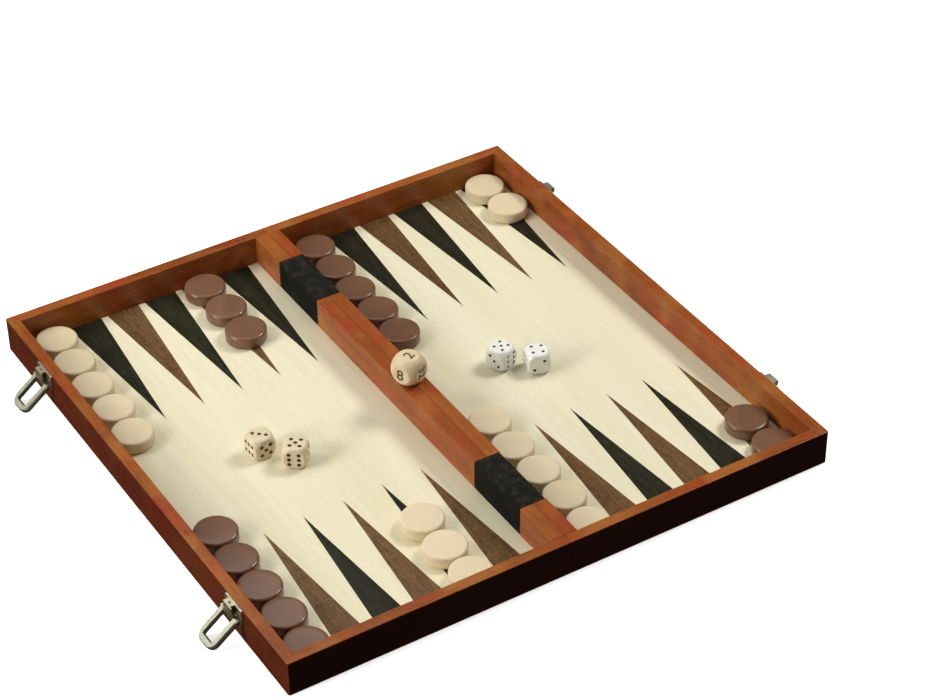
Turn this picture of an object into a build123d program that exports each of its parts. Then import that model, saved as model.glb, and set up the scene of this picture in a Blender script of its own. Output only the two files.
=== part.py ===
"""Folding backgammon and chess case, lying open, with its checkers, dice and doubling cube.

Millimetres. X runs across the open board, the left tray at -X and the right tray at +X. Y runs along
the bar, from the near end at -Y to the far end at +Y. +Z is up. z = 0 is the underside that rests on
the table, where the chessboard is, and x = 0 is the fold line between the two trays.
"""
import os
from math import cos, radians, sin

from build123d import *

os.makedirs("parts", exist_ok=True)

# ---- driving dimensions ----
# The chessboard on the outside sets the size of the case: eight squares and a border each way.
SQUARE = 42.0
BORDER = 28.0
HALF = 4 * SQUARE + BORDER  # a tray is HALF wide and 2 * HALF long

# Tray sections
TRAY_H = 25.0
SKIN_T = 0.6  # chessboard veneer on the underside
PANEL_T = 3.0
FLOOR_Z = SKIN_T + PANEL_T
RAIL_T = 8.0  # outer and end rails
BAR_T = 9.5  # one tray's half of the bar
REBATE = 4.0  # how far the panel is let into the rails
SEAM = 0.1  # each tray stops this short of the fold line
CORNER_R = 1.5
EDGE_R = 0.6
SEAM_R = 0.2  # the bar's edges along the fold line are crisper

# Chessboard
GROOVE = 0.3  # dark line between two squares
STRIP_W = 3.2  # light strip beside each dark edge square
STRIP_GAP = 0.5
MITRE_GAP = 0.1  # between the border's strips of veneer

# Points on the floor
POINT_PITCH = 28.4
POINT_BASE = 23.6
POINT_LENGTH = 122.5
POINT_T = 0.6
FIRST_FROM_FOLD = 28.8  # middle of the point beside the bar

# Hinge straps
STRAP_T = 1.0
STRAP_RECESS = 1.1
STRAP_LENGTH = 53.0
STRAP_Y = 127.0

# Latches, on the outer rails
LATCH_Y = 132.0
LATCH_TOP = TRAY_H - EDGE_R
PLATE_T = 1.3
PLATE_W = 21.0
PLATE_R = 1.2
PLATE_LOW = 13.0
PIVOT_OUT = 3.5  # pivot axis to the rail's face
PIVOT_Z = 16.0
PIN_R = 1.0
PIN_RUN = 0.05
PIN_HEAD_R = 1.4
PIN_HEAD_T = 0.4
LOOP_W = 19.2
LOOP_BAND = 4.2
LOOP_LENGTH = 23.8
LOOP_T = 3.2
LOOP_CORNER_R = 6.5
WINDOW_R = 0.8  # inner corners at the loop's end
OUTER_CHAMFER = 0.8
WINDOW_CHAMFER = 0.3
LOOP_LEAN = 38.0  # degrees below level, with the end of the loop just off the table
CATCH_Z = 15.0  # lowest point of the catch
CATCH_OUT = 4.4
CATCH_NOSE = 1.4  # bevel on the side that the loop slides over
CATCH_NOSE_H = 1.8
LIP_OUT = 0.5  # ridge along the catch's rim side
LIP_H = 1.2
DIMPLE_R = 0.7
DIMPLE_T = 0.4
DIMPLE_UP = 3.2
SCREW_Y = 7.9
SCREW_Z = 20.4
SCREW_HEAD_R = 1.6
SCREW_HEAD_T = 0.45
SCREW_R = 1.1
SCREW_LENGTH = 6.0
SCREW_CLEAR = 0.03
SLOT_W = 0.5
SLOT_TURNS = {-1: -15, 1: 85}  # degrees, for the two screws of a latch

# The bracket's folded cover, which stands between the loop's legs and turns round the pin at its foot
LEG_IN = LOOP_W / 2 - LOOP_BAND  # inner face of a loop leg, from the latch's middle
BLOCK_W = 2 * LEG_IN - 1.0  # cover and catch clear the legs
KNUCKLE_R = 1.7
SHEET_T = 0.8
FOLD_R = 0.7
NOTCH_L = 2.2  # open end of the cover's top
TAB_HOLE_R = 0.8
TAB_HOLE_OUT = 1.4
TAB_HOLE_Y = 1.0

# Playing pieces
CHECKER_R = 14.3
CHECKER_T = 9.0
CHECKER_ROUND = 1.8
CHECKER_PITCH = 29.0
WALL_GAP = 0.6  # first checker to the end rail
WANDER = 0.7  # the hand-placed rows aren't quite straight
WANDER_TURN = 2.1  # radians from one checker to the next
DIE = 16.0
DIE_EDGE_R = 1.8
DIE_BALL_R = 10.9  # the ball that trims a die's corners
DOUBLING_CUBE = 20.0
CUBE_EDGE_R = 2.4
CUBE_BALL_R = 12.0

INNER_L = HALF - RAIL_T
BOTH = (-1, 1)
SIDES = {"left": -1, "right": 1}


def save(builder, name):
    """Label a finished piece and write it."""
    builder.part.label = name
    export_step(builder.part, f"parts/{name}.step")


def point_x(index):
    """Middle of the point, counted 0 to 11 from the outer edge of the left tray."""
    if index < 6:
        return -FIRST_FROM_FOLD - (5 - index) * POINT_PITCH
    return FIRST_FROM_FOLD + (index - 6) * POINT_PITCH


def point_outline(index, end):
    """Corners of one point: its base on the end rail, its tip towards the middle."""
    middle = point_x(index)
    base_y = end * INNER_L
    tip_y = end * (INNER_L - POINT_LENGTH)
    return (middle - POINT_BASE / 2, base_y), (middle + POINT_BASE / 2, base_y), (middle, tip_y)


def tray_points(side):
    """Point numbers that lie in one tray."""
    return range(0, 6) if side < 0 else range(6, 12)


def is_brown(index, end):
    """Brown and black points take turns, and opposite points differ."""
    return index % 2 == (0 if end > 0 else 1)


def squares(side, light):
    """Middles of one tray's light or dark squares."""
    columns = range(-4, 0) if side < 0 else range(0, 4)
    return [
        ((column + 0.5) * SQUARE, (row - 3.5) * SQUARE)
        for column in columns
        for row in range(8)
        if ((column + row) % 2 == 1) == light
    ]


def strips(side):
    """Light strips outside the dark edge squares, as (x, y, width, length)."""
    edge = 4 * SQUARE
    out = edge + STRIP_GAP + STRIP_W / 2
    found = []
    for x, y in squares(side, light=False):
        if abs(x) > edge - SQUARE:
            found.append((side * out, y, STRIP_W, SQUARE - GROOVE))
        if abs(y) > edge - SQUARE:
            found.append((x, out if y > 0 else -out, SQUARE - GROOVE, STRIP_W))
    # the corner beyond the light corner square
    found.append((side * out, -side * out, STRIP_W, STRIP_W))
    return found


def loop_edges(loop, plane, outer):
    """Edges of a loop's upper face: those of its outline, or those of its window."""
    found = ShapeList()
    for edge in loop.faces().sort_by(Axis(plane.origin, plane.z_dir))[-1].edges():
        spot = plane.to_local_coords(edge.center())
        beside = abs(spot.X) > LEG_IN + WINDOW_R
        beyond = spot.Y > LOOP_LENGTH - LOOP_BAND + WINDOW_R
        if spot.Y > WINDOW_R and (beside or beyond) == outer:
            found.append(edge)
    return found


# ---- the two trays ----
for side_name, side in SIDES.items():
    outer_group = 0 if side < 0 else -1  # where the outer corners come in a list sorted along X
    # Outer rail: carries the latches, mitred at both ends, rebated for the panel
    with BuildPart() as outer_rail:
        with BuildSketch(Plane.XZ) as section:
            with BuildLine():
                Polyline(
                    (side * HALF, SKIN_T),
                    (side * HALF, TRAY_H),
                    (side * (HALF - RAIL_T), TRAY_H),
                    (side * (HALF - RAIL_T), FLOOR_Z),
                    (side * (HALF - REBATE), FLOOR_Z),
                    (side * (HALF - REBATE), SKIN_T),
                    close=True,
                )
            make_face()
            fillet(section.vertices().group_by(Axis.Y)[-1], EDGE_R)
        extrude(amount=HALF, both=True)
        with BuildSketch(Plane.XY):
            with BuildLine():
                Polyline(
                    (side * HALF, -HALF),
                    (side * HALF, HALF),
                    (side * INNER_L, INNER_L),
                    (side * INNER_L, -INNER_L),
                    close=True,
                )
            make_face()
        extrude(amount=TRAY_H, mode=Mode.INTERSECT)
        with BuildSketch(Plane.XY) as outline:
            with Locations((side * HALF / 2, 0)):
                Rectangle(HALF, 2 * HALF)
            fillet(outline.vertices().group_by(Axis.X)[outer_group], CORNER_R)
        extrude(amount=TRAY_H, mode=Mode.INTERSECT)
        # pilot holes for the latch screws
        screw_points = [(y * LATCH_Y + dy * SCREW_Y, SCREW_Z) for y in BOTH for dy in BOTH]
        with BuildSketch(Plane.YZ.offset(side * HALF)):
            with Locations(*screw_points):
                Circle(SCREW_R)
        extrude(amount=-side * SCREW_LENGTH, mode=Mode.SUBTRACT)
    save(outer_rail, f"outer_rail_{side_name}")

    # Bar rail: half of the bar, recessed over its top and inner face for the two hinge straps
    with BuildPart() as bar_rail:
        with BuildSketch(Plane.XZ) as section:
            with BuildLine():
                Polyline(
                    (side * SEAM, SKIN_T),
                    (side * SEAM, TRAY_H),
                    (side * BAR_T, TRAY_H),
                    (side * BAR_T, FLOOR_Z),
                    (side * REBATE, FLOOR_Z),
                    (side * REBATE, SKIN_T),
                    close=True,
                )
            make_face()
            top_corners = section.vertices().group_by(Axis.Y)[-1].sort_by(Axis.X)
            seam_corner, tray_corner = top_corners if side > 0 else reversed(top_corners)
            fillet(tray_corner, EDGE_R)
            fillet(seam_corner, SEAM_R)
        extrude(amount=INNER_L, both=True)
        with BuildSketch(Plane.XZ):
            with BuildLine():
                Polyline(
                    (0, TRAY_H),
                    (side * BAR_T, TRAY_H),
                    (side * BAR_T, FLOOR_Z),
                    (side * (BAR_T - STRAP_RECESS), FLOOR_Z),
                    (side * (BAR_T - STRAP_RECESS), TRAY_H - STRAP_RECESS),
                    (0, TRAY_H - STRAP_RECESS),
                    close=True,
                )
            make_face()
        recess = extrude(amount=STRAP_LENGTH / 2, both=True, mode=Mode.PRIVATE)
        with Locations((0, -STRAP_Y, 0), (0, STRAP_Y, 0)):
            add(recess, mode=Mode.SUBTRACT)
    save(bar_rail, f"bar_rail_{side_name}")

    # End rails: from the mitre to the fold line, one at each end of the bar
    with BuildPart() as end_rails:
        for end in BOTH:
            with BuildSketch(Plane.YZ.offset(side * SEAM)) as section:
                with Locations((end * (HALF + INNER_L) / 2, (SKIN_T + TRAY_H) / 2)):
                    Rectangle(RAIL_T, TRAY_H - SKIN_T)
                fillet(section.vertices().group_by(Axis.Y)[-1], EDGE_R)
            extrude(amount=side * (HALF - SEAM))
        with BuildSketch(Plane.XY):
            for end in BOTH:
                with BuildLine():
                    Polyline(
                        (0, end * INNER_L),
                        (0, end * HALF),
                        (side * HALF, end * HALF),
                        (side * INNER_L, end * INNER_L),
                        close=True,
                    )
                make_face()
        extrude(amount=TRAY_H, mode=Mode.INTERSECT)
        with BuildSketch(Plane.XY) as outline:
            with Locations((side * HALF / 2, 0)):
                Rectangle(HALF, 2 * HALF)
            fillet(outline.vertices().group_by(Axis.X)[outer_group], CORNER_R)
        extrude(amount=TRAY_H, mode=Mode.INTERSECT)
        # rebate for the panel, which stops short of the fold line
        with BuildSketch(Plane.YZ.offset(side * REBATE)):
            for end in BOTH:
                with Locations((end * (INNER_L + HALF - REBATE) / 2, SKIN_T + PANEL_T / 2)):
                    Rectangle(HALF - REBATE - INNER_L, PANEL_T)
        extrude(amount=side * (HALF - REBATE), mode=Mode.SUBTRACT)
    save(end_rails, f"end_rails_{side_name}")

    # Floor panel, with a shallow pocket for each point
    with BuildPart() as floor_panel:
        with BuildSketch(Plane.XY.offset(SKIN_T)):
            with Locations((side * HALF / 2, 0)):
                Rectangle(HALF - 2 * REBATE, 2 * (HALF - REBATE))
        extrude(amount=PANEL_T)
        with BuildSketch(Plane.XY.offset(FLOOR_Z)):
            for index in tray_points(side):
                for end in BOTH:
                    with BuildLine():
                        Polyline(*point_outline(index, end), close=True)
                    make_face()
        extrude(amount=-POINT_T, mode=Mode.SUBTRACT)
    save(floor_panel, f"floor_panel_{side_name}")

    # Point inlays, in their pockets
    for colour, brown in (("black", False), ("brown", True)):
        with BuildPart() as inlays:
            with BuildSketch(Plane.XY.offset(FLOOR_Z - POINT_T)):
                for index in tray_points(side):
                    for end in BOTH:
                        if is_brown(index, end) == brown:
                            with BuildLine():
                                Polyline(*point_outline(index, end), close=True)
                            make_face()
            extrude(amount=POINT_T)
        save(inlays, f"points_{colour}_{side_name}")

    # Chessboard veneer on the underside
    with BuildPart() as chess_light:
        with BuildSketch(Plane.XY):
            with Locations(*squares(side, light=True)):
                Rectangle(SQUARE - GROOVE, SQUARE - GROOVE)
            for x, y, width, length in strips(side):
                with Locations((x, y)):
                    Rectangle(width, length)
        extrude(amount=SKIN_T)
    save(chess_light, f"chess_light_{side_name}")

    with BuildPart() as chess_dark:
        with BuildSketch(Plane.XY) as border:
            with Locations((side * (HALF + SEAM) / 2, 0)):
                Rectangle(HALF - SEAM, 2 * HALF)
            fillet(border.vertices().group_by(Axis.X)[outer_group], CORNER_R)
            with Locations((side * 2 * SQUARE, 0)):
                Rectangle(4 * SQUARE + GROOVE, 8 * SQUARE + GROOVE, mode=Mode.SUBTRACT)
            for x, y, width, length in strips(side):
                with Locations((x, y)):
                    Rectangle(width, length, mode=Mode.SUBTRACT)
            for end in BOTH:
                with Locations((side * (HALF - BORDER / 2), end * (HALF - BORDER / 2))):
                    Rectangle(2 * BORDER, MITRE_GAP, rotation=side * end * 45, mode=Mode.SUBTRACT)
            with Locations(*squares(side, light=False)):
                Rectangle(SQUARE - GROOVE, SQUARE - GROOVE)
        extrude(amount=SKIN_T)
    save(chess_dark, f"chess_dark_{side_name}")

    # Hinge strap leaves: each covers its half of the bar's top and runs down the inner face
    with BuildPart() as strap_leaves:
        with BuildSketch(Plane.XZ):
            face_x = BAR_T - STRAP_RECESS
            face_z = TRAY_H - STRAP_RECESS
            with BuildLine():
                Polyline(
                    (side * SEAM, face_z),
                    (side * face_x, face_z),
                    (side * face_x, FLOOR_Z),
                    (side * (face_x + STRAP_T), FLOOR_Z),
                    (side * (face_x + STRAP_T), face_z + STRAP_T),
                    (side * SEAM, face_z + STRAP_T),
                    close=True,
                )
            make_face()
        leaf = extrude(amount=STRAP_LENGTH / 2 - SEAM, both=True, mode=Mode.PRIVATE)
        with Locations((0, -STRAP_Y, 0), (0, STRAP_Y, 0)):
            add(leaf)
    save(strap_leaves, f"strap_leaves_{side_name}")


# ---- latches on the left tray ----
PIVOT_X = -HALF - PIVOT_OUT
COVER_OUT = PIVOT_OUT + KNUCKLE_R
HOLLOW_LOW = PIVOT_Z + KNUCKLE_R

with BuildPart() as latch_brackets:
    for end in BOTH:
        middle = end * LATCH_Y
        # backing plate
        with BuildSketch(Plane.YZ.offset(-HALF)):
            with Locations((middle, (PLATE_LOW + LATCH_TOP) / 2)):
                RectangleRounded(PLATE_W, LATCH_TOP - PLATE_LOW, PLATE_R)
        extrude(amount=-PLATE_T)
        # folded cover, with its foot rolled round the pivot
        cover_low = PIVOT_Z - KNUCKLE_R
        with BuildSketch(Plane.XZ.offset(-middle)) as cover:
            with Locations((-HALF - COVER_OUT / 2, (cover_low + LATCH_TOP) / 2)):
                Rectangle(COVER_OUT, LATCH_TOP - cover_low)
            foot, fold = cover.vertices().group_by(Axis.X)[0].sort_by(Axis.Y)
            fillet(foot, KNUCKLE_R)
            fillet(fold, FOLD_R)
        extrude(amount=BLOCK_W / 2, both=True)
        # its hollow, open at the near end, where the top is notched as well
        near_end = Plane.XZ.offset(BLOCK_W / 2 - middle)
        hollow_x = -HALF - (PLATE_T + COVER_OUT - SHEET_T) / 2
        hollow_w = COVER_OUT - SHEET_T - PLATE_T
        with BuildSketch(near_end):
            with Locations((hollow_x, (HOLLOW_LOW + LATCH_TOP - SHEET_T) / 2)):
                Rectangle(hollow_w, LATCH_TOP - SHEET_T - HOLLOW_LOW)
        extrude(amount=SHEET_T - BLOCK_W, mode=Mode.SUBTRACT)
        with BuildSketch(near_end):
            with Locations((hollow_x, LATCH_TOP - SHEET_T / 2)):
                Rectangle(hollow_w, SHEET_T)
        extrude(amount=-NOTCH_L, mode=Mode.SUBTRACT)
        with BuildSketch(Plane.XY.offset(LATCH_TOP)):
            with Locations((-HALF - PLATE_T - TAB_HOLE_OUT, middle + TAB_HOLE_Y)):
                Circle(TAB_HOLE_R)
        extrude(amount=-SHEET_T, mode=Mode.SUBTRACT)
        # bore for the pin, and holes for the screws
        with BuildSketch(Plane.XZ.offset(-middle)):
            with Locations((PIVOT_X, PIVOT_Z)):
                Circle(PIN_R + SCREW_CLEAR)
        extrude(amount=BLOCK_W / 2, both=True, mode=Mode.SUBTRACT)
        with BuildSketch(Plane.YZ.offset(-HALF)):
            with Locations((middle - SCREW_Y, SCREW_Z), (middle + SCREW_Y, SCREW_Z)):
                Circle(SCREW_R + SCREW_CLEAR)
        extrude(amount=-PLATE_T, mode=Mode.SUBTRACT)
save(latch_brackets, "latch_brackets")

with BuildPart() as latch_pins:
    for end in BOTH:
        with BuildSketch(Plane.XZ.offset(-end * LATCH_Y)):
            with Locations((PIVOT_X, PIVOT_Z)):
                Circle(PIN_R)
        extrude(amount=LOOP_W / 2 + PIN_HEAD_T, both=True)
        # peened heads, just outside the legs
        for cap in BOTH:
            with BuildSketch(Plane.XZ.offset(-end * LATCH_Y + cap * (LOOP_W / 2 + PIN_RUN))):
                with Locations((PIVOT_X, PIVOT_Z)):
                    Circle(PIN_HEAD_R)
            extrude(amount=cap * PIN_HEAD_T)
save(latch_pins, "latch_pins")

# Screws: the same pan-head screw fixes the brackets on the left and the catches on the right
for name, side in (("latch_screws", -1), ("catch_screws", 1)):
    face_x = side * (HALF + PLATE_T)
    with BuildPart() as screws:
        for y in BOTH:
            for dy in BOTH:
                spot = (y * LATCH_Y + dy * SCREW_Y, SCREW_Z)
                with BuildSketch(Plane.YZ.offset(face_x)):
                    with Locations(spot):
                        Circle(SCREW_R - SCREW_CLEAR)
                extrude(amount=-side * SCREW_LENGTH)
                with BuildSketch(Plane.YZ.offset(face_x)):
                    with Locations(spot):
                        Circle(SCREW_HEAD_R)
                extrude(amount=side * SCREW_HEAD_T)
                with BuildSketch(Plane.YZ.offset(face_x + side * SCREW_HEAD_T)):
                    with Locations(spot):
                        Rectangle(2 * SCREW_HEAD_R, SLOT_W, rotation=SLOT_TURNS[dy])
                extrude(amount=-side * SCREW_HEAD_T / 2, mode=Mode.SUBTRACT)
    save(screws, name)

# Loops: flat U-shaped bands on their pins, leaning out with their ends just off the table
lean = radians(LOOP_LEAN)
for name, middle in (("latch_loop_near", -LATCH_Y), ("latch_loop_far", LATCH_Y)):
    # local x runs along the rail, local y from the pivot to the loop's end
    loop_plane = Plane(
        origin=(PIVOT_X, middle, PIVOT_Z), x_dir=(0, 1, 0), z_dir=(-sin(lean), 0, cos(lean))
    )
    with BuildPart() as latch_loop:
        with BuildSketch(loop_plane) as band:
            with Locations((0, LOOP_LENGTH / 2)):
                Rectangle(LOOP_W, LOOP_LENGTH)
            fillet(band.vertices().group_by(Axis.Y)[-1], LOOP_CORNER_R)
            with Locations((0, (LOOP_LENGTH - LOOP_BAND) / 2)):
                RectangleRounded(2 * LEG_IN, LOOP_LENGTH - LOOP_BAND, WINDOW_R, mode=Mode.SUBTRACT)
            with Locations((0, WINDOW_R / 2)):
                Rectangle(2 * LEG_IN, WINDOW_R, mode=Mode.SUBTRACT)
        extrude(amount=LOOP_T / 2, both=True)
        chamfer(loop_edges(latch_loop, loop_plane, outer=True), OUTER_CHAMFER)
        chamfer(loop_edges(latch_loop, loop_plane, outer=False), WINDOW_CHAMFER)
        # rounded ends round the pin
        for leg in BOTH:
            leg_middle = middle + leg * (LOOP_W - LOOP_BAND) / 2
            with BuildSketch(Plane.XZ.offset(-leg_middle)):
                with Locations((PIVOT_X, PIVOT_Z)):
                    Circle(LOOP_T / 2)
            extrude(amount=LOOP_BAND / 2, both=True)
        with BuildSketch(Plane.XZ.offset(-middle)):
            with Locations((PIVOT_X, PIVOT_Z)):
                Circle(PIN_R + PIN_RUN)
        extrude(amount=LOOP_W, both=True, mode=Mode.SUBTRACT)
    save(latch_loop, name)

# Catches on the right tray: a raised block that each loop drops over, on a flat base
with BuildPart() as catch_plates:
    for end in BOTH:
        middle = end * LATCH_Y
        with BuildSketch(Plane.YZ.offset(HALF)):
            with Locations((middle, (CATCH_Z + LATCH_TOP) / 2)):
                RectangleRounded(LOOP_W, LATCH_TOP - CATCH_Z, PLATE_R)
        extrude(amount=PLATE_T)
        with BuildSketch(Plane.XZ.offset(-middle)):
            with BuildLine():
                Polyline(
                    (HALF, CATCH_Z),
                    (HALF + CATCH_OUT - CATCH_NOSE, CATCH_Z),
                    (HALF + CATCH_OUT, CATCH_Z + CATCH_NOSE_H),
                    (HALF + CATCH_OUT, LATCH_TOP - LIP_H - LIP_OUT),
                    (HALF + CATCH_OUT + LIP_OUT, LATCH_TOP - LIP_H),
                    (HALF + CATCH_OUT + LIP_OUT, LATCH_TOP),
                    (HALF, LATCH_TOP),
                    close=True,
                )
            make_face()
        extrude(amount=BLOCK_W / 2, both=True)
        with BuildSketch(Plane.YZ.offset(HALF + CATCH_OUT)):
            with Locations((middle, CATCH_Z + DIMPLE_UP)):
                Circle(DIMPLE_R)
        extrude(amount=-DIMPLE_T, mode=Mode.SUBTRACT)
        with BuildSketch(Plane.YZ.offset(HALF)):
            with Locations((middle - SCREW_Y, SCREW_Z), (middle + SCREW_Y, SCREW_Z)):
                Circle(SCREW_R + SCREW_CLEAR)
        extrude(amount=PLATE_T, mode=Mode.SUBTRACT)
save(catch_plates, "catch_plates")


# ---- playing pieces, set out for the start of a game ----
# (colour, point counted from the left, end of the board, how many)
OPENING = (
    ("light", 0, 1, 5),
    ("dark", 4, 1, 3),
    ("dark", 6, 1, 5),
    ("light", 11, 1, 2),
    ("dark", 0, -1, 5),
    ("light", 4, -1, 3),
    ("light", 6, -1, 5),
    ("dark", 11, -1, 2),
)
counts = {"light": 0, "dark": 0}
for colour, index, end, how_many in OPENING:
    for place in range(how_many):
        counts[colour] += 1
        x = point_x(index) + WANDER * sin(WANDER_TURN * place + index + end)
        y = end * (INNER_L - WALL_GAP - CHECKER_R - place * CHECKER_PITCH)
        with BuildPart() as checker:
            with BuildSketch(Plane.XY.offset(FLOOR_Z)):
                with Locations((x, y)):
                    Circle(CHECKER_R)
            extrude(amount=CHECKER_T)
            fillet(checker.edges().filter_by(GeomType.CIRCLE), CHECKER_ROUND)
        save(checker, f"checker_{colour}_{counts[colour]:02d}")


# Dice and doubling cube: (name, x, y, turn in degrees)
DICE = (
    ("die_wood_1", -107.2, 2.4, 3.3),
    ("die_wood_2", -91.9, -17.6, 52.3),
    ("die_white_1", 72.4, -2.9, 23.1),
    ("die_white_2", 90.7, -18.8, 69.6),
)
CUBES = [(name, DIE, DIE_EDGE_R, DIE_BALL_R, x, y, FLOOR_Z, turn) for name, x, y, turn in DICE]
CUBES.append(("doubling_cube", DOUBLING_CUBE, CUBE_EDGE_R, CUBE_BALL_R, -1.0, -7.2, TRAY_H, 24.1))
for name, edge, edge_r, ball_r, x, y, low, turn in CUBES:
    with BuildPart() as cube:
        with Locations((x, y, low + edge / 2)):
            Box(edge, edge, edge, rotation=(0, 0, turn))
        fillet(cube.edges(), edge_r)
        with Locations((x, y, low + edge / 2)):
            Sphere(ball_r, mode=Mode.INTERSECT)
    save(cube, name)
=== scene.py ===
"""Looks of the folding backgammon and chess case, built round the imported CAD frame.

Metres, in the CAD frame: X runs across the open board, Y along the bar, +Z up, and z = 0 is the table.
"""

import math
import random

import bmesh
import bpy
from mathutils import Euler, Matrix, Vector


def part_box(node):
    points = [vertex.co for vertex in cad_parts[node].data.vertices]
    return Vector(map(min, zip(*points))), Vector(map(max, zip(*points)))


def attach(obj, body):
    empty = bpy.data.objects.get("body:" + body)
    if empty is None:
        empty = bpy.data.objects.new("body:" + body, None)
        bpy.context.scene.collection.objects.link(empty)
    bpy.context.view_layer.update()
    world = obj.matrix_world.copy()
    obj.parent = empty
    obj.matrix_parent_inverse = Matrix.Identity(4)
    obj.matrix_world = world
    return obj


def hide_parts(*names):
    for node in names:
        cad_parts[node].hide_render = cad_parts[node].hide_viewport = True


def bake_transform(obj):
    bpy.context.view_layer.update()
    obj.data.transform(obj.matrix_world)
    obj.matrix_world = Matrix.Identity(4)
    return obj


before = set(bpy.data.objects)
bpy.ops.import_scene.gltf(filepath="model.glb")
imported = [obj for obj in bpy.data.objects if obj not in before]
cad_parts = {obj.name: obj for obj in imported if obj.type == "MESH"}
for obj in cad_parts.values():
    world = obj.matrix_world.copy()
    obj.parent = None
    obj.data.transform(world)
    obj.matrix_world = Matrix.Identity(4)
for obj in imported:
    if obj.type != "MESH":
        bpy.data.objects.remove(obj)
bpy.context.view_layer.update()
CASE_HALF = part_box("end_rails_left")[1].y  # the case reaches this far along X and Y
MM = 0.001
SIDES = ("left", "right")


# ---------------------------------------------------------------- materials
class Shader:
    """A material, with short calls that add nodes to its tree."""

    def __init__(self, name):
        self.material = bpy.data.materials.new(name)
        self.material.use_nodes = True
        self.tree = self.material.node_tree
        self.tree.nodes.clear()

    def node(self, kind, inputs=None, **settings):
        """One node of a kind. Inputs are values or sockets, by name or number."""
        made = self.tree.nodes.new("ShaderNode" + kind)
        for key, value in settings.items():
            setattr(made, key, value)
        for key, value in (inputs or {}).items():
            if isinstance(value, bpy.types.NodeSocket):
                self.tree.links.new(value, made.inputs[key])
            else:
                made.inputs[key].default_value = value
        return made

    def place(self, stretch=(1, 1, 1), shift=(0, 0, 0)):
        """Object coordinates in metres, scaled by stretch, so that a grain can run along an axis."""
        source = self.node("TexCoord").outputs["Object"]
        return self.node("Mapping", {"Vector": source, "Scale": stretch, "Location": shift}).outputs[0]

    def noise(self, vector, scale, detail=3.0, rough=0.55, distortion=0.0):
        inputs = {
            "Vector": vector,
            "Scale": scale,
            "Detail": detail,
            "Roughness": rough,
            "Distortion": distortion,
        }
        return self.node("TexNoise", inputs).outputs["Fac"]

    def span(self, value, low, high, to_low=0.0, to_high=1.0):
        """Map low..high to to_low..to_high, clamped."""
        inputs = {
            "Value": value,
            "From Min": low,
            "From Max": high,
            "To Min": to_low,
            "To Max": to_high,
        }
        return self.node("MapRange", inputs).outputs[0]

    def math(self, operation, first, second=0.0):
        return self.node("Math", {0: first, 1: second}, operation=operation).outputs[0]

    def mix(self, share, first, second, blend="MIX"):
        """Colour mix. The colours are sockets or (r, g, b)."""
        made = self.node("Mix", {0: share}, data_type="RGBA", blend_type=blend)
        for socket, colour in ((made.inputs[6], first), (made.inputs[7], second)):
            if isinstance(colour, bpy.types.NodeSocket):
                self.tree.links.new(colour, socket)
            else:
                socket.default_value = (*colour, 1)
        return made.outputs[2]

    def ramp(self, share, *colours):
        """Evenly spaced (r, g, b) colours."""
        made = self.node("ValToRGB", {0: share})
        elements = made.color_ramp.elements
        while len(elements) < len(colours):
            elements.new(0.5)
        for number, colour in enumerate(colours):
            elements[number].position = number / (len(colours) - 1)
            elements[number].color = (*colour, 1)
        return made.outputs[0]

    def bump(self, height, strength, depth):
        return self.node("Bump", {"Height": height, "Strength": strength, "Distance": depth}).outputs[0]

    def finish(self, colour, roughness, **more):
        """The surface itself. Further inputs are given as names with _ for spaces."""
        inputs = {"Roughness": roughness}
        inputs.update({key.replace("_", " "): value for key, value in more.items()})
        surface = self.node("BsdfPrincipled", inputs)
        if isinstance(colour, bpy.types.NodeSocket):
            self.tree.links.new(colour, surface.inputs["Base Color"])
        else:
            surface.inputs["Base Color"].default_value = (*colour, 1)
        self.node("OutputMaterial", {"Surface": surface.outputs[0]})
        return self.material


SQUARE = 42.0 * MM  # side of a chess square
# Grids of cells: where they start from the fold line, and their size in x and y
SQUARE_GRID = (0.0, SQUARE, SQUARE)
POINT_GRID = (14.6 * MM, 28.4 * MM, 200 * MM)
# Saw teeth across the chess joints. Each pair is where they are full and where they have faded out
TOOTH_PITCH = 3.0 * MM
TOOTH_LENGTH = (0.6 * MM, 1.1 * MM)
TOOTH_GAP = (0.6 * MM, 0.9 * MM)


def own_value(s, start, pitch_x, pitch_y):
    """A random value for each cell of a grid that is mirrored about the fold line."""
    x, y, _ = s.node("SeparateXYZ", {0: s.place()}).outputs
    away = s.math("SUBTRACT", s.math("ABSOLUTE", x), start)
    column = s.math("FLOOR", s.math("DIVIDE", away, pitch_x))
    row = s.math("FLOOR", s.math("DIVIDE", y, pitch_y))
    cell = s.node("CombineXYZ", {0: column, 1: row, 2: s.math("SIGN", x)}).outputs[0]
    return s.node("TexWhiteNoise", {"Vector": cell}, noise_dimensions="3D").outputs["Value"]


def saw_marks(s):
    """Short dark teeth along the joints between the chess squares."""
    x, y, _ = s.node("SeparateXYZ", {0: s.place()}).outputs
    marks = 0.0
    for across, along in ((x, y), (y, x)):
        near = s.span(s.math("PINGPONG", across, SQUARE / 2), *TOOTH_LENGTH, 1, 0)
        tooth = s.span(s.math("PINGPONG", along, TOOTH_PITCH / 2), *TOOTH_GAP)
        marks = s.math("ADD", s.math("MULTIPLY", near, tooth), marks)
    return s.math("MINIMUM", marks, 1.0)


def painted_shade_outside(s, outer_shade):
    """(where, colour) of the painted shade that darkens the outer end faces and side faces of the rails."""
    x, y, _ = s.node("SeparateXYZ", {0: s.place()}).outputs
    start, full = CASE_HALF - 0.5 * MM, CASE_HALF - 0.1 * MM
    found = []
    for across, colour in ((x, outer_shade["sides"]), (y, outer_shade["ends"])):
        found.append((s.span(s.math("ABSOLUTE", across), start, full), colour))
    return found


GRAIN = {"X": (0.07, 1, 1), "Y": (1, 0.07, 1)}  # squeezes the noise's scale along the grain
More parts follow.
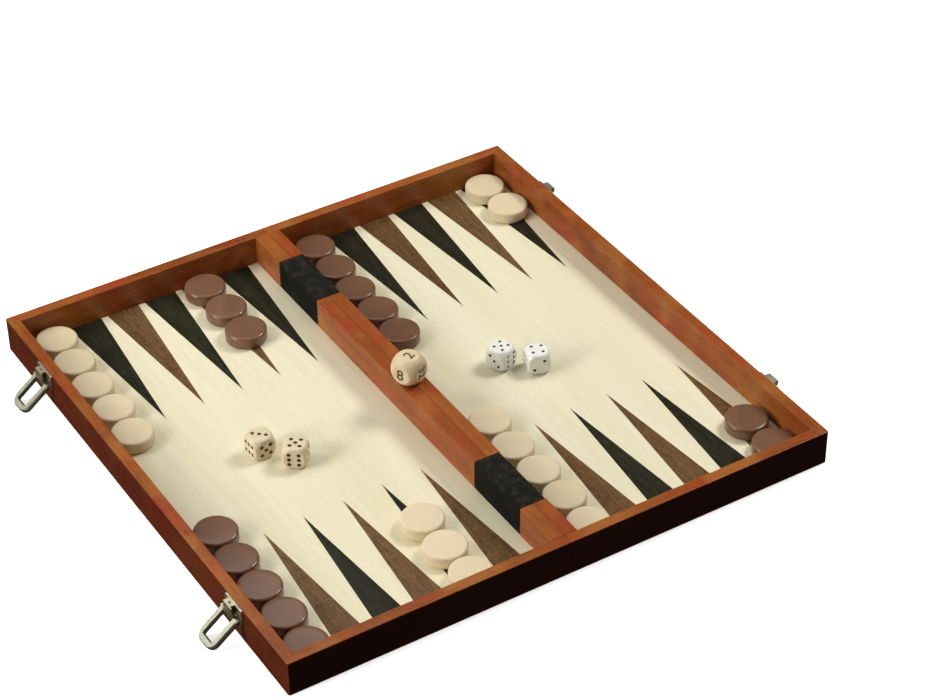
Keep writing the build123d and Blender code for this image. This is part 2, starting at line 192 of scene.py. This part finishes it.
# How many times finer than a wood's figure its streaks and its pores are
STREAK_SCALE = 14
PORE_SCALE = 55
VENEER_JUMP = 7.3  # metres of noise between one piece of veneer and the next
LACQUER_ROUGHNESS = 0.27
SAWN_COLOUR = (0.26, 0.115, 0.042)


def wood(name, tones, grain, fleck, figure=30, patches=(), outer_shade=None, pieces=None, sawn=False,
         shift=(0, 0, 0), streak=0.35, specular=0.22):
    """Lacquered wood: broad figure, fine streaks and short pores along the grain.

    tones are dark to light. fleck is the pores' strength and colour. figure is the scale of the broad
    figure. patches are (strength, colour, scale) of broad areas that differ. outer_shade, a colour of
    painted shade, darkens the outside faces of the case. pieces is the grid that gives each piece of veneer
    its own figure. sawn draws the teeth along the joints of the chessboard. streak is the share of the fine
    streaks."""
    s = Shader(name)
    along = s.place(GRAIN[grain], shift)
    if pieces:
        own = own_value(s, *pieces)
        away = s.math("MULTIPLY", own, VENEER_JUMP)
        along = s.node("VectorMath", {0: along, 1: away}, operation="ADD").outputs[0]
    broad = s.noise(along, figure, 4, 0.6, 0.9)
    fine = s.noise(along, figure * STREAK_SCALE, 4, 0.65, 0.2)
    pores = s.span(s.noise(along, figure * PORE_SCALE, 2, 0.5, 0.1), 0.56, 0.68)
    share = s.math("ADD", s.math("MULTIPLY", broad, 1 - streak), s.math("MULTIPLY", fine, streak))
    colour = s.ramp(s.span(share, 0.3, 0.7), *tones)
    for number, (strength, patch_colour, scale) in enumerate(patches):
        round_place = s.place((1, 1, 1), (0.37 * number + shift[0], shift[1], shift[2]))
        spot = s.noise(round_place, scale, 3, 0.55, 0.5)
        colour = s.mix(s.span(spot, 0.46, 0.66, 0, strength), colour, patch_colour)
    if pieces:
        lightness = s.span(own, 0, 1, 0.90, 1.06)
        grey = s.node("CombineColor", {0: lightness, 1: lightness, 2: lightness}).outputs[0]
        colour = s.mix(1.0, colour, grey, "MULTIPLY")
    strength, pore_colour = fleck
    colour = s.mix(s.math("MULTIPLY", pores, strength), colour, pore_colour)
    if sawn:
        colour = s.mix(s.math("MULTIPLY", saw_marks(s), 0.65), colour, SAWN_COLOUR)
    # Painted shade: the outer side and end faces of the case are multiplied darker, standing in for shade.
    if outer_shade:
        for where, shade_colour in painted_shade_outside(s, outer_shade):
            colour = s.mix(where, colour, shade_colour, "MULTIPLY")
    rough = s.span(fine, 0.3, 0.7, LACQUER_ROUGHNESS - 0.06, LACQUER_ROUGHNESS + 0.08)
    height = s.math("SUBTRACT", s.math("MULTIPLY", fine, 0.4), s.math("MULTIPLY", pores, 0.6))
    bump = s.bump(height, 0.25, 0.15 * MM)
    return s.finish(colour, rough, Normal=bump, Specular_IOR_Level=specular)


RAIL_TONES = ((0.165, 0.034, 0.0075), (0.275, 0.072, 0.0150), (0.375, 0.122, 0.0260))
RAIL_PATCHES = (
    (0.75, (0.36, 0.052, 0.016), 34),
    (0.60, (0.41, 0.160, 0.034), 26),
)
RAIL_PORES = (0.45, (0.100, 0.019, 0.006))
# Colours of painted shade, multiplied into the outer side and end faces of the rails
RAIL_OUTER_SHADE = {"sides": (0.38, 0.22, 0.19), "ends": (0.34, 0.22, 0.22)}


def paint(node, material):
    """Give a CAD node's object one material in all its slots."""
    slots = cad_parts[node].data.materials
    slots.clear()
    slots.append(material)


def dress_rails():
    for side in SIDES:
        for node, grain in (("outer_rail", "Y"), ("bar_rail", "Y"), ("end_rails", "X")):
            name = f"{node}_{side}"
            shift = (random.uniform(-1, 1), random.uniform(-1, 1), random.uniform(-1, 1))
            paint(name, wood(f"mahogany_{name}", RAIL_TONES, grain, RAIL_PORES, patches=RAIL_PATCHES,
                             outer_shade=RAIL_OUTER_SHADE, shift=shift, streak=0.28))


def dress_boards():
    maple = ((0.76, 0.695, 0.475), (0.81, 0.76, 0.555), (0.85, 0.805, 0.61))
    black = ((0.010, 0.010, 0.0055), (0.019, 0.018, 0.010), (0.034, 0.031, 0.018))
    walnut = ((0.088, 0.042, 0.015), (0.150, 0.078, 0.030), (0.220, 0.126, 0.056))
    pepper = ((0.42, (0.042, 0.021, 0.009), 460), (0.35, (0.29, 0.180, 0.088), 640))
    pale = ((0.72, 0.62, 0.40), (0.80, 0.72, 0.50), (0.87, 0.80, 0.60))
    sapele = ((0.22, 0.075, 0.026), (0.34, 0.13, 0.048), (0.46, 0.20, 0.078))
    floor = wood("maple_panel", maple, "Y", (0.07, (0.62, 0.50, 0.28)), figure=24, streak=0.2)
    points_black = wood("black_points", black, "Y", (0.40, (0.070, 0.062, 0.036)), specular=0.14)
    points_brown = wood("walnut_points", walnut, "Y", (0.55, (0.040, 0.019, 0.008)), patches=pepper,
                        pieces=POINT_GRID, streak=0.40, specular=0.16)
    light = wood("chess_maple", pale, "Y", (0.25, (0.60, 0.46, 0.26)), pieces=SQUARE_GRID, sawn=True)
    dark = wood("chess_sapele", sapele, "Y", (0.75, (0.15, 0.048, 0.018)), pieces=SQUARE_GRID)
    for side in SIDES:
        paint(f"floor_panel_{side}", floor)
        paint(f"points_black_{side}", points_black)
        paint(f"points_brown_{side}", points_brown)
        paint(f"chess_light_{side}", light)
        paint(f"chess_dark_{side}", dark)


def aged_nickel(name, colour, roughness):
    """Plated steel, a little tarnished, with fine brushing and worn spots."""
    s = Shader(name)
    place = s.place()
    tarnish = s.span(s.noise(place, 220, 4, 0.6, 0.5), 0.35, 0.7)
    brushed = s.noise(s.place((1, 14, 1)), 900, 3)
    dull = tuple(part * 0.62 for part in colour)
    tone = s.mix(tarnish, colour, dull)
    worn = s.span(tarnish, 0, 1, roughness, roughness + 0.16)
    rough = s.math("ADD", worn, s.span(brushed, 0.3, 0.7, -0.05, 0.06))
    return s.finish(tone, rough, Metallic=1.0, Normal=s.bump(brushed, 0.12, 0.05 * MM))


def dress_latches():
    nickel = aged_nickel("latch_nickel", (0.60, 0.60, 0.47), 0.28)
    brassy = aged_nickel("bracket_nickel", (0.80, 0.74, 0.53), 0.30)
    steel = aged_nickel("screw_steel", (0.42, 0.36, 0.27), 0.46)
    for node in ("latch_loop_near", "latch_loop_far"):
        paint(node, nickel)
    for node in ("latch_brackets", "catch_plates"):
        paint(node, brassy)
    for node in ("latch_screws", "latch_pins", "catch_screws"):
        paint(node, steel)


def turned_wood(name, tones, fleck, roughness, coat):
    """Turned wood, with a grain and a tone of its own for each piece."""
    s = Shader(name)
    own = s.node("ObjectInfo").outputs["Random"]
    jumps = {0: s.math("MULTIPLY", own, 3.1), 1: s.math("MULTIPLY", own, 1.7), 2: own}
    spread = s.node("CombineXYZ", jumps).outputs[0]
    along = s.node("VectorMath", {0: s.place(GRAIN["Y"]), 1: spread}, operation="ADD").outputs[0]
    broad = s.noise(along, 45, 3, 0.55, 0.7)
    fine = s.noise(along, 600, 3, 0.6, 0.2)
    pores = s.span(s.noise(along, 1500, 2, 0.5), 0.58, 0.7)
    share = s.math("ADD", s.math("MULTIPLY", broad, 0.75), s.math("MULTIPLY", fine, 0.25))
    colour = s.ramp(s.span(share, 0.3, 0.7), *tones)
    lightness = s.span(own, 0, 1, 0.94, 1.06)
    warmth = s.math("POWER", lightness, 1.5)
    tint = s.node("CombineColor", {0: lightness, 1: lightness, 2: warmth}).outputs[0]
    colour = s.mix(1.0, colour, tint, "MULTIPLY")
    strength, pore_colour = fleck
    colour = s.mix(s.math("MULTIPLY", pores, strength), colour, pore_colour)
    rough = s.span(fine, 0.3, 0.7, roughness - 0.04, roughness + 0.06)
    bump = s.bump(s.math("SUBTRACT", fine, pores), 0.15, 0.08 * MM)
    return s.finish(colour, rough, Normal=bump, Specular_IOR_Level=0.25, Coat_Weight=coat,
                    Coat_Roughness=0.12)


def loose_wood(name, tones, roughness):
    """Plain turned or sawn beech, nearly matt."""
    s = Shader(name)
    along = s.place(GRAIN["X"], (0.3, 0.1, 0.7))
    broad = s.noise(along, 110, 3, 0.55, 0.8)
    fine = s.noise(along, 900, 3, 0.6, 0.2)
    pores = s.span(s.noise(along, 2300, 2, 0.5), 0.58, 0.72)
    share = s.math("ADD", s.math("MULTIPLY", broad, 0.6), s.math("MULTIPLY", fine, 0.4))
    colour = s.ramp(s.span(share, 0.3, 0.7), *tones)
    colour = s.mix(s.math("MULTIPLY", pores, 0.35), colour, (0.42, 0.27, 0.13))
    bump = s.bump(s.math("SUBTRACT", fine, pores), 0.2, 0.08 * MM)
    rough = s.span(fine, 0.3, 0.7, roughness, roughness + 0.1)
    return s.finish(colour, rough, Normal=bump, Coat_Weight=0.08)


def white_plastic():
    """White plastic, a little cloudy and scuffed."""
    s = Shader("white_die")
    cloud = s.noise(s.place(), 180, 3)
    colour = s.ramp(s.span(cloud, 0.3, 0.7), (0.86, 0.86, 0.82), (0.92, 0.92, 0.88))
    scuff = s.noise(s.place((1, 6, 1)), 1500, 3)
    return s.finish(colour, s.span(scuff, 0.35, 0.7, 0.16, 0.34), Normal=s.bump(scuff, 0.05, 0.04 * MM),
                    Subsurface_Weight=0.15, Subsurface_Radius=(2 * MM, 2 * MM, 2 * MM),
                    Subsurface_Scale=1.0)


def plain_paint(name, colour, roughness):
    """Paint sunk in wood or plastic, with slight pooling."""
    s = Shader(name)
    pool = s.noise(s.place(), 1400, 3)
    lighter = tuple(part * 1.8 for part in colour)
    tone = s.ramp(s.span(pool, 0.3, 0.8), colour, lighter)
    rough = s.span(pool, 0.3, 0.7, roughness, roughness + 0.15)
    return s.finish(tone, rough, Normal=s.bump(pool, 0.1, 0.05 * MM))


def strap_cloth():
    """Black coated cloth with a pebbled surface, with painted shade on the sides of the bar."""
    s = Shader("strap_textile")
    place = s.place()
    pebble = s.node("TexVoronoi", {"Vector": place, "Scale": 1100.0}).outputs["Distance"]
    fuzz = s.noise(place, 2600, 4, 0.7)
    wide = s.noise(place, 160, 3)
    height = s.math("ADD", s.math("MULTIPLY", pebble, 0.8), s.math("MULTIPLY", fuzz, 0.5))
    mottle = s.math("ADD", fuzz, s.math("MULTIPLY", wide, 0.5))
    colour = s.ramp(s.span(mottle, 0.55, 1.0),
                    (0.0025, 0.0022, 0.0018), (0.010, 0.009, 0.0065), (0.070, 0.063, 0.045))
    level = s.node("SeparateXYZ", {0: place}).outputs[2]
    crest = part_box("strap_leaves_right")[1].z
    top = s.span(level, crest - 1.6 * MM, crest - 0.6 * MM)
    # Painted shade: below the strap's top, on the bar's sides, the colour is multiplied down to about 0.3.
    colour = s.mix(top, s.mix(1.0, colour, (0.30, 0.30, 0.28), "MULTIPLY"), colour)
    return s.finish(colour, s.span(fuzz, 0.3, 0.7, 0.7, 0.9), Normal=s.bump(height, 0.8, 0.3 * MM),
                    Sheen_Weight=0.03, Sheen_Roughness=0.5, Specular_IOR_Level=0.08)


# ---------------------------------------------------------------- meshes and loose pieces
def mesh_object(name, shape, material):
    """A smooth-shaded object from a bmesh, linked to the scene."""
    mesh = bpy.data.meshes.new(name)
    shape.to_mesh(mesh)
    shape.free()
    mesh.materials.append(material)
    for face in mesh.polygons:
        face.use_smooth = True
    made = bpy.data.objects.new(name, mesh)
    bpy.context.collection.objects.link(made)
    return made


def lathe(profile, segments):
    """A bmesh turned round Z from (radius, height) points, closed where they start or end on the axis."""
    shape = bmesh.new()
    turns = [2 * math.pi * number / segments for number in range(segments)]
    rings = []
    for radius, height in profile:
        if radius == 0:
            rings.append([shape.verts.new((0, 0, height))])
        else:
            ring = [(radius * math.cos(turn), radius * math.sin(turn), height) for turn in turns]
            rings.append([shape.verts.new(point) for point in ring])
    for low, high in zip(rings, rings[1:]):
        for first in range(segments):
            second = (first + 1) % segments
            if len(low) == 1:
                shape.faces.new((low[0], high[second], high[first]))
            elif len(high) == 1:
                shape.faces.new((low[first], low[second], high[0]))
            else:
                shape.faces.new((low[first], low[second], high[second], high[first]))
    return shape


CHECKER_EDGE = 1.8 * MM
CHECKER_CROWN = 0.08 * MM  # how much higher the top is in the middle


def checker_shape(radius, thick):
    """A disc with rounded edges and a faintly crowned top, standing on z = 0."""
    edge = CHECKER_EDGE
    flat = radius - edge
    rings, steps = 5, 8
    profile = [(0, 0)]
    for number in range(1, rings + 1):
        profile.append((flat * number / rings, 0))
    for number in range(1, steps + 1):
        angle = math.pi / 2 * number / steps
        profile.append((flat + edge * math.sin(angle), edge - edge * math.cos(angle)))
    for number in range(steps + 1):
        angle = math.pi / 2 * number / steps
        profile.append((flat + edge * math.cos(angle), thick - edge + edge * math.sin(angle)))
    for number in range(rings - 1, 0, -1):
        share = number / rings
        profile.append((flat * share, thick + CHECKER_CROWN * (1 - share * share)))
    profile.append((0, thick + CHECKER_CROWN))
    return lathe(profile, segments=96)


def make_checkers():
    dark = ((0.158, 0.074, 0.041), (0.184, 0.088, 0.049), (0.210, 0.104, 0.059))
    light = ((0.70, 0.585, 0.395), (0.74, 0.625, 0.425), (0.78, 0.66, 0.455))
    looks = {
        "dark": turned_wood("dark_checker", dark, (0.15, (0.10, 0.045, 0.024)), 0.34, 0.5),
        "light": turned_wood("light_checker", light, (0.08, (0.56, 0.42, 0.25)), 0.46, 0.0),
    }
    for colour, material in looks.items():
        for number in range(1, 16):
            node = f"checker_{colour}_{number:02d}"
            low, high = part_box(node)
            shape = checker_shape((high.x - low.x) / 2, high.z - low.z)
            piece = mesh_object(f"turned_{node}", shape, material)
            piece.location = ((low.x + high.x) / 2, (low.y + high.y) / 2, low.z)
            piece.rotation_euler.z = random.uniform(0, 2 * math.pi)
            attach(piece, node)
            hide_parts(node)


def solid_copy(source):
    """A plain mesh of a curve, or of an object with its modifiers applied."""
    graph = bpy.context.evaluated_depsgraph_get()
    graph.update()
    return bpy.data.meshes.new_from_object(source.evaluated_get(graph))


def join_shapes(shapes):
    """One bmesh out of several, which are freed."""
    joined = bmesh.new()
    for shape in shapes:
        loose = bpy.data.meshes.new("loose")
        shape.to_mesh(loose)
        shape.free()
        joined.from_mesh(loose)
        bpy.data.meshes.remove(loose)
    return joined


def carve(piece, cutter_shapes, material):
    """Cut the cutters out of the piece, and give the cut faces their own material."""
    cutter = mesh_object("cutter", join_shapes(cutter_shapes), material)
    cut = piece.modifiers.new("carve", "BOOLEAN")
    cut.operation = "DIFFERENCE"
    cut.solver = "EXACT"
    cut.material_mode = "TRANSFER"
    cut.object = cutter
    carved = solid_copy(piece)
    piece.modifiers.clear()
    piece.data = carved
    bpy.data.objects.remove(cutter)


def set_down(piece, node, turn):
    """Stand a piece made round the origin where its CAD node stands, turned by degrees."""
    low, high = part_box(node)
    piece.location = (low + high) / 2
    piece.rotation_euler.z = math.radians(turn)
    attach(piece, node)
    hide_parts(node)


# Radius of the rounded edges, and of the ball that the corners are trimmed to
DIE_EDGE, DIE_BALL = 1.8 * MM, 10.9 * MM
CUBE_EDGE, CUBE_BALL = 2.4 * MM, 12.0 * MM
SOFTEN = 0.5 * MM  # width over which the ball's cut blends into the rounded edges


def rounded_cube(side, edge, ball):
    """A bmesh cube with rounded edges and corners trimmed by a ball, centred on the origin."""
    shape = bmesh.new()
    bmesh.ops.create_cube(shape, size=side)
    bmesh.ops.subdivide_edges(shape, edges=shape.edges[:], cuts=41, use_grid_fill=True)
    flat = side / 2 - edge
    for vert in shape.verts:
        inner = Vector([min(max(part, -flat), flat) for part in vert.co])
        vert.co = inner + (vert.co - inner).normalized() * edge
        reach = vert.co.length
        near = min(max(0.5 + 0.5 * (ball - reach) / SOFTEN, 0), 1)
        vert.co *= (ball * (1 - near) + reach * near - SOFTEN * near * (1 - near)) / reach
    return shape


def face_frame(normal, right, side):
    """Matrix that lays a drawing (x right, y up, z out) on a face of a cube centred on the origin."""
    out = Vector(normal)
    across = Vector(right)
    upward = out.cross(across)
    turn = Matrix((across, upward, out)).transposed().to_4x4()
    return Matrix.Translation(out * side / 2) @ turn


# The pips' spacing, and the radius of the balls that cut them
WOODEN_PIPS = (3.2 * MM, 1.6 * MM)
WHITE_PIPS = (3.35 * MM, 1.4 * MM)
PIP_LIFT = 0.85 * MM  # how far the balls' centres are above the face

# Places of each number's pips, in spacings from the middle of the face
PIPS = {
    1: ((0, 0),),
    2: ((1, 1), (-1, -1)),
    3: ((1, 1), (0, 0), (-1, -1)),
    4: ((1, 1), (1, -1), (-1, 1), (-1, -1)),
    5: ((1, 1), (1, -1), (0, 0), (-1, 1), (-1, -1)),
    6: ((1, 1.2), (1, 0), (1, -1.2), (-1, 1.2), (-1, 0), (-1, -1.2)),
}

# Each die's turn in degrees, and its faces: pips, outward normal and the drawing's right in its own axes
DICE = {
    "die_wood_1": (3.3, (
        (3, (0, 0, 1), (0, 1, 0)), (6, (-1, 0, 0), (0, 0, 1)), (5, (0, -1, 0), (1, 0, 0)),
        (4, (0, 0, -1), (1, 0, 0)), (1, (1, 0, 0), (0, 1, 0)), (2, (0, 1, 0), (1, 0, 0)),
    )),
    "die_wood_2": (52.3, (
        (5, (0, 0, 1), (1, 0, 0)), (6, (-1, 0, 0), (0, -1, 0)), (4, (0, -1, 0), (1, 0, 0)),
        (2, (0, 0, -1), (1, 0, 0)), (1, (1, 0, 0), (0, 1, 0)), (3, (0, 1, 0), (1, 0, 0)),
    )),
    "die_white_1": (23.1, (
        (5, (0, 0, 1), (1, 0, 0)), (3, (-1, 0, 0), (0, 0, 1)), (6, (0, -1, 0), (1, 0, 0)),
        (2, (0, 0, -1), (1, 0, 0)), (4, (1, 0, 0), (0, 1, 0)), (1, (0, 1, 0), (1, 0, 0)),
    )),
    "die_white_2": (69.6, (
        (4, (0, 0, 1), (1, 0, 0)), (2, (-1, 0, 0), (0, -1, 0)), (6, (0, 1, 0), (0, 0, 1)),
        (3, (0, 0, -1), (1, 0, 0)), (5, (1, 0, 0), (0, 1, 0)), (1, (0, -1, 0), (1, 0, 0)),
    )),
}


def make_dice():
    wood_look = loose_wood("wooden_die", ((0.66, 0.55, 0.36), (0.74, 0.64, 0.44), (0.81, 0.72, 0.52)), 0.42)
    white_look = white_plastic()
    pip_looks = {
        True: plain_paint("pip_brown", (0.045, 0.020, 0.007), 0.5),
        False: plain_paint("pip_black", (0.016, 0.012, 0.009), 0.35),
    }
    for node, (turn, faces) in DICE.items():
        low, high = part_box(node)
        side = high.z - low.z
        wooden = "wood" in node
        piece = mesh_object(f"carved_{node}", rounded_cube(side, DIE_EDGE, DIE_BALL),
                            wood_look if wooden else white_look)
        spacing, ball = WOODEN_PIPS if wooden else WHITE_PIPS
        cutters = []
        for pips, normal, right in faces:
            lay = face_frame(normal, right, side)
            for x, y in PIPS[pips]:
                cutter = bmesh.new()
                place = lay @ Matrix.Translation((x * spacing, y * spacing, PIP_LIFT))
                bmesh.ops.create_icosphere(cutter, subdivisions=3, radius=ball, matrix=place)
                cutters.append(cutter)
        carve(piece, cutters, pip_looks[wooden])
        set_down(piece, node, turn)


CUBE_TURN = 24.1  # degrees
NUMBER_DEPTH = 0.5 * MM
# Faces of the doubling cube: number, outward normal, the drawing's right and the figures' height in mm
NUMBERS = (
    ("2", (0, 0, 1), (1, 0, 0), 7.4),
    ("4", (0, 1, 0), (-1, 0, 0), 7.6),
    ("8", (-1, 0, 0), (0, -1, 0), 8.2),
    ("16", (1, 0, 0), (0, 1, 0), 6.6),
    ("32", (0, -1, 0), (0, 0, -1), 6.6),
    ("64", (0, 0, -1), (1, 0, 0), 6.6),
)


def number_shape(text, height, depth):
    """Solid figures, centred on the origin in x and y, reaching depth each way in z."""
    curve = bpy.data.curves.new("number", "FONT")
    curve.body = text
    curve.extrude = 0.05  # in the font's units, like the offset that makes it bolder
    curve.offset = 0.016
    curve.resolution_u = 6
    holder = bpy.data.objects.new("number", curve)
    bpy.context.collection.objects.link(holder)
    flat = solid_copy(holder)
    bpy.data.objects.remove(holder)
    shape = bmesh.new()
    shape.from_mesh(flat)
    bmesh.ops.remove_doubles(shape, verts=shape.verts[:], dist=1e-5)
    xs = [vert.co.x for vert in shape.verts]
    ys = [vert.co.y for vert in shape.verts]
    size = height / (max(ys) - min(ys))
    middle = Vector(((max(xs) + min(xs)) / 2, (max(ys) + min(ys)) / 2, 0))
    for vert in shape.verts:
        vert.co = (vert.co - middle) * size
        vert.co.z = math.copysign(depth, vert.co.z)
    return shape


def make_doubling_cube():
    node = "doubling_cube"
    low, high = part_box(node)
    side = high.z - low.z
    look = loose_wood("wooden_cube", ((0.62, 0.48, 0.285), (0.72, 0.585, 0.37), (0.80, 0.67, 0.45)), 0.44)
    burnt = plain_paint("burnt_numbers", (0.10, 0.065, 0.030), 0.6)
    piece = mesh_object("carved_doubling_cube", rounded_cube(side, CUBE_EDGE, CUBE_BALL), look)
    cutters = []
    for text, normal, right, height in NUMBERS:
        cutter = number_shape(text, height * MM, NUMBER_DEPTH)
        cutter.transform(face_frame(normal, right, side))
        cutters.append(cutter)
    carve(piece, cutters, burnt)
    set_down(piece, node, CUBE_TURN)


# ---------------------------------------------------------------- hinge straps
STRAP_THICK = 1.0 * MM
STRAP_BENDS = (1.3 * MM, 0.25 * MM)  # outer and inner radius where the strap turns over the bar's edges
FOLD_DIPS = (0.12 * MM, 0.1 * MM)  # how far its outer and inner faces sink along the fold line
FOLD_DIP_REACH = 2.6 * MM
CUT_END_SINK = (0.32 * MM, 0.12 * MM, 0.03 * MM)  # how far its last rows at each cut end are drawn in
STRAP_ROWS = 44


def strap_path(half, base, crest, radius, dip):
    """(x, z) points up one side of the bar, over its top and down the other."""
    straight, turn = 15, 6
    flat, shoulder = half - radius, crest - radius
    right = []
    for number in range(straight):
        right.append((half, base + (shoulder - base) * number / straight))
    for number in range(turn + 1):
        angle = math.pi / 2 * number / turn
        right.append((flat + radius * math.cos(angle), shoulder + radius * math.sin(angle)))
    for number in range(1, straight):
        x = flat * (1 - number / straight)
        right.append((x, crest - dip * math.exp(-((x / FOLD_DIP_REACH) ** 2))))
    return right + [(0, crest - dip)] + [(-x, z) for x, z in reversed(right)]


def strap_section(reach, base, top):
    """Closed (x, z) outline of a strap: its outer face, then its inner face back again."""
    outer = strap_path(reach, base, top, STRAP_BENDS[0], FOLD_DIPS[0])
    inner = strap_path(reach - STRAP_THICK, base, top - STRAP_THICK, STRAP_BENDS[1], FOLD_DIPS[1])
    return outer + inner[::-1]


def strap_point(x, y, z, sunk, base):
    """A point of the strap, drawn in by sunk towards the bar at the cut ends."""
    middle = Vector((0, y, base))
    point = Vector((x, y, z))
    return point - (point - middle).normalized() * sunk


def make_straps():
    look = strap_cloth()
    low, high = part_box("strap_leaves_right")
    section = strap_section(high.x, low.z, high.z)
    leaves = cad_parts["strap_leaves_right"].data.vertices
    for name, sign in (("near", -1), ("far", 1)):
        ys = [vert.co.y for vert in leaves if vert.co.y * sign > 0]
        start, end = min(ys), max(ys)
        shape = bmesh.new()
        rows = []
        for row in range(STRAP_ROWS + 1):
            y = start + (end - start) * row / STRAP_ROWS
            rim = min(row, STRAP_ROWS - row)
            sunk = CUT_END_SINK[rim] if rim < len(CUT_END_SINK) else 0
            rows.append([shape.verts.new(strap_point(x, y, z, sunk, low.z)) for x, z in section])
        for one, two in zip(rows, rows[1:]):
            for first in range(len(section)):
                second = (first + 1) % len(section)
                shape.faces.new((one[first], one[second], two[second], two[first]))
        half = len(section) // 2
        for row, flip in ((rows[0], False), (rows[-1], True)):
            for first in range(half - 1):
                corners = [row[first], row[-1 - first], row[-2 - first], row[first + 1]]
                shape.faces.new(corners[::-1] if flip else corners)
        bmesh.ops.recalc_face_normals(shape, faces=shape.faces[:])
        piece = mesh_object(f"hinge_strap_{name}", shape, look)
        if name == "near":
            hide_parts("strap_leaves_left", "strap_leaves_right")
        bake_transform(piece)


# ---------------------------------------------------------------- studio
# The camera fitted to the photograph
LENS = 103.46  # mm, on a 36 mm wide sensor
EYE = Vector((-0.68393, -1.19528, 1.10619))
AZIMUTH, ELEVATION, ROLL = 31.455, 37.665, -0.699  # degrees


def add_camera():
    data = bpy.data.cameras.new("photo_camera")
    data.sensor_width = 36
    data.lens = LENS
    camera = bpy.data.objects.new("photo_camera", data)
    aim = Euler((math.radians(90 - ELEVATION), 0, math.radians(-AZIMUTH))).to_matrix().to_4x4()
    camera.matrix_world = Matrix.Translation(EYE) @ aim @ Matrix.Rotation(math.radians(ROLL), 4, "Z")
    bpy.context.collection.objects.link(camera)
    bpy.context.scene.camera = camera


def softbox(name, place, aim, size, power, tint):
    data = bpy.data.lights.new(name, "AREA")
    data.shape = "RECTANGLE"
    data.size, data.size_y = size
    data.energy = power
    data.color = tint
    lamp = bpy.data.objects.new(name, data)
    lamp.location = place
    lamp.rotation_euler = (Vector(aim) - Vector(place)).to_track_quat("-Z", "Y").to_euler()
    bpy.context.collection.objects.link(lamp)


def add_backdrop():
    """A pale floor that sweeps up into a wall all round, lighter away from the object."""
    s = Shader("studio_backdrop")
    speck = s.noise(s.place(), 3, 2)
    colour = s.ramp(s.span(speck, 0.3, 0.7), (0.93, 0.93, 0.93), (0.96, 0.96, 0.96))
    away = s.node("VectorMath", {0: s.place()}, operation="LENGTH").outputs["Value"]
    glow = s.span(away, 0.45, 1.3, 0.70, 1.0)
    material = s.finish(colour, 0.9, Specular_IOR_Level=0.0, Emission_Color=(1, 1, 1, 1),
                        Emission_Strength=glow)
    flat, sweep, wall = 3.6, 1.4, 6.0  # radius of the floor and of the sweep, and height of the wall
    steps = 12
    profile = [(0, 0)]
    for number in range(steps + 1):
        angle = math.pi / 2 * number / steps
        profile.append((flat + sweep * math.sin(angle), sweep - sweep * math.cos(angle)))
    profile.append((flat + sweep, wall))
    backdrop = mesh_object("studio_backdrop", lathe(profile, segments=64), material)
    backdrop.location.z = -0.2 * MM  # just clear of the rails' undersides
    backdrop.visible_diffuse = False
    backdrop.visible_glossy = False


# Lamps: name, place, aim, size in metres, power in watts and tint
LAMPS = (
    ("left_low", (-1.35, 0.05, 0.62), (0, 0, 0), (0.5, 0.5), 13.0, (1.0, 0.975, 0.92)),
    ("left_high", (-1.05, 0.60, 1.15), (0, 0, 0), (0.45, 0.45), 6.5, (1.0, 0.98, 0.94)),
    ("left_back", (-1.05, 1.10, 0.32), (-0.2, 0, 0), (0.9, 0.5), 1.8, (1.0, 0.99, 0.95)),
    ("right", (1.15, -0.05, 1.35), (0, 0, 0), (0.5, 0.5), 17.5, (1.0, 0.985, 0.95)),
    ("top", (0.0, 0.75, 1.5), (0, 0, 0), (1.2, 1.0), 7.0, (1.0, 0.98, 0.93)),
)


def add_studio():
    for lamp in LAMPS:
        softbox(*lamp)
    world = bpy.data.worlds.new("studio")
    world.use_nodes = True
    background = world.node_tree.nodes["Background"]
    background.inputs["Color"].default_value = (1, 0.97, 0.88, 1)
    background.inputs["Strength"].default_value = 0.05
    bpy.context.scene.world = world
    bpy.context.scene.view_settings.view_transform = "Standard"


random.seed(28)
dress_rails()
dress_boards()
dress_latches()
make_checkers()
make_dice()
make_doubling_cube()
make_straps()
add_camera()
add_backdrop()
add_studio()
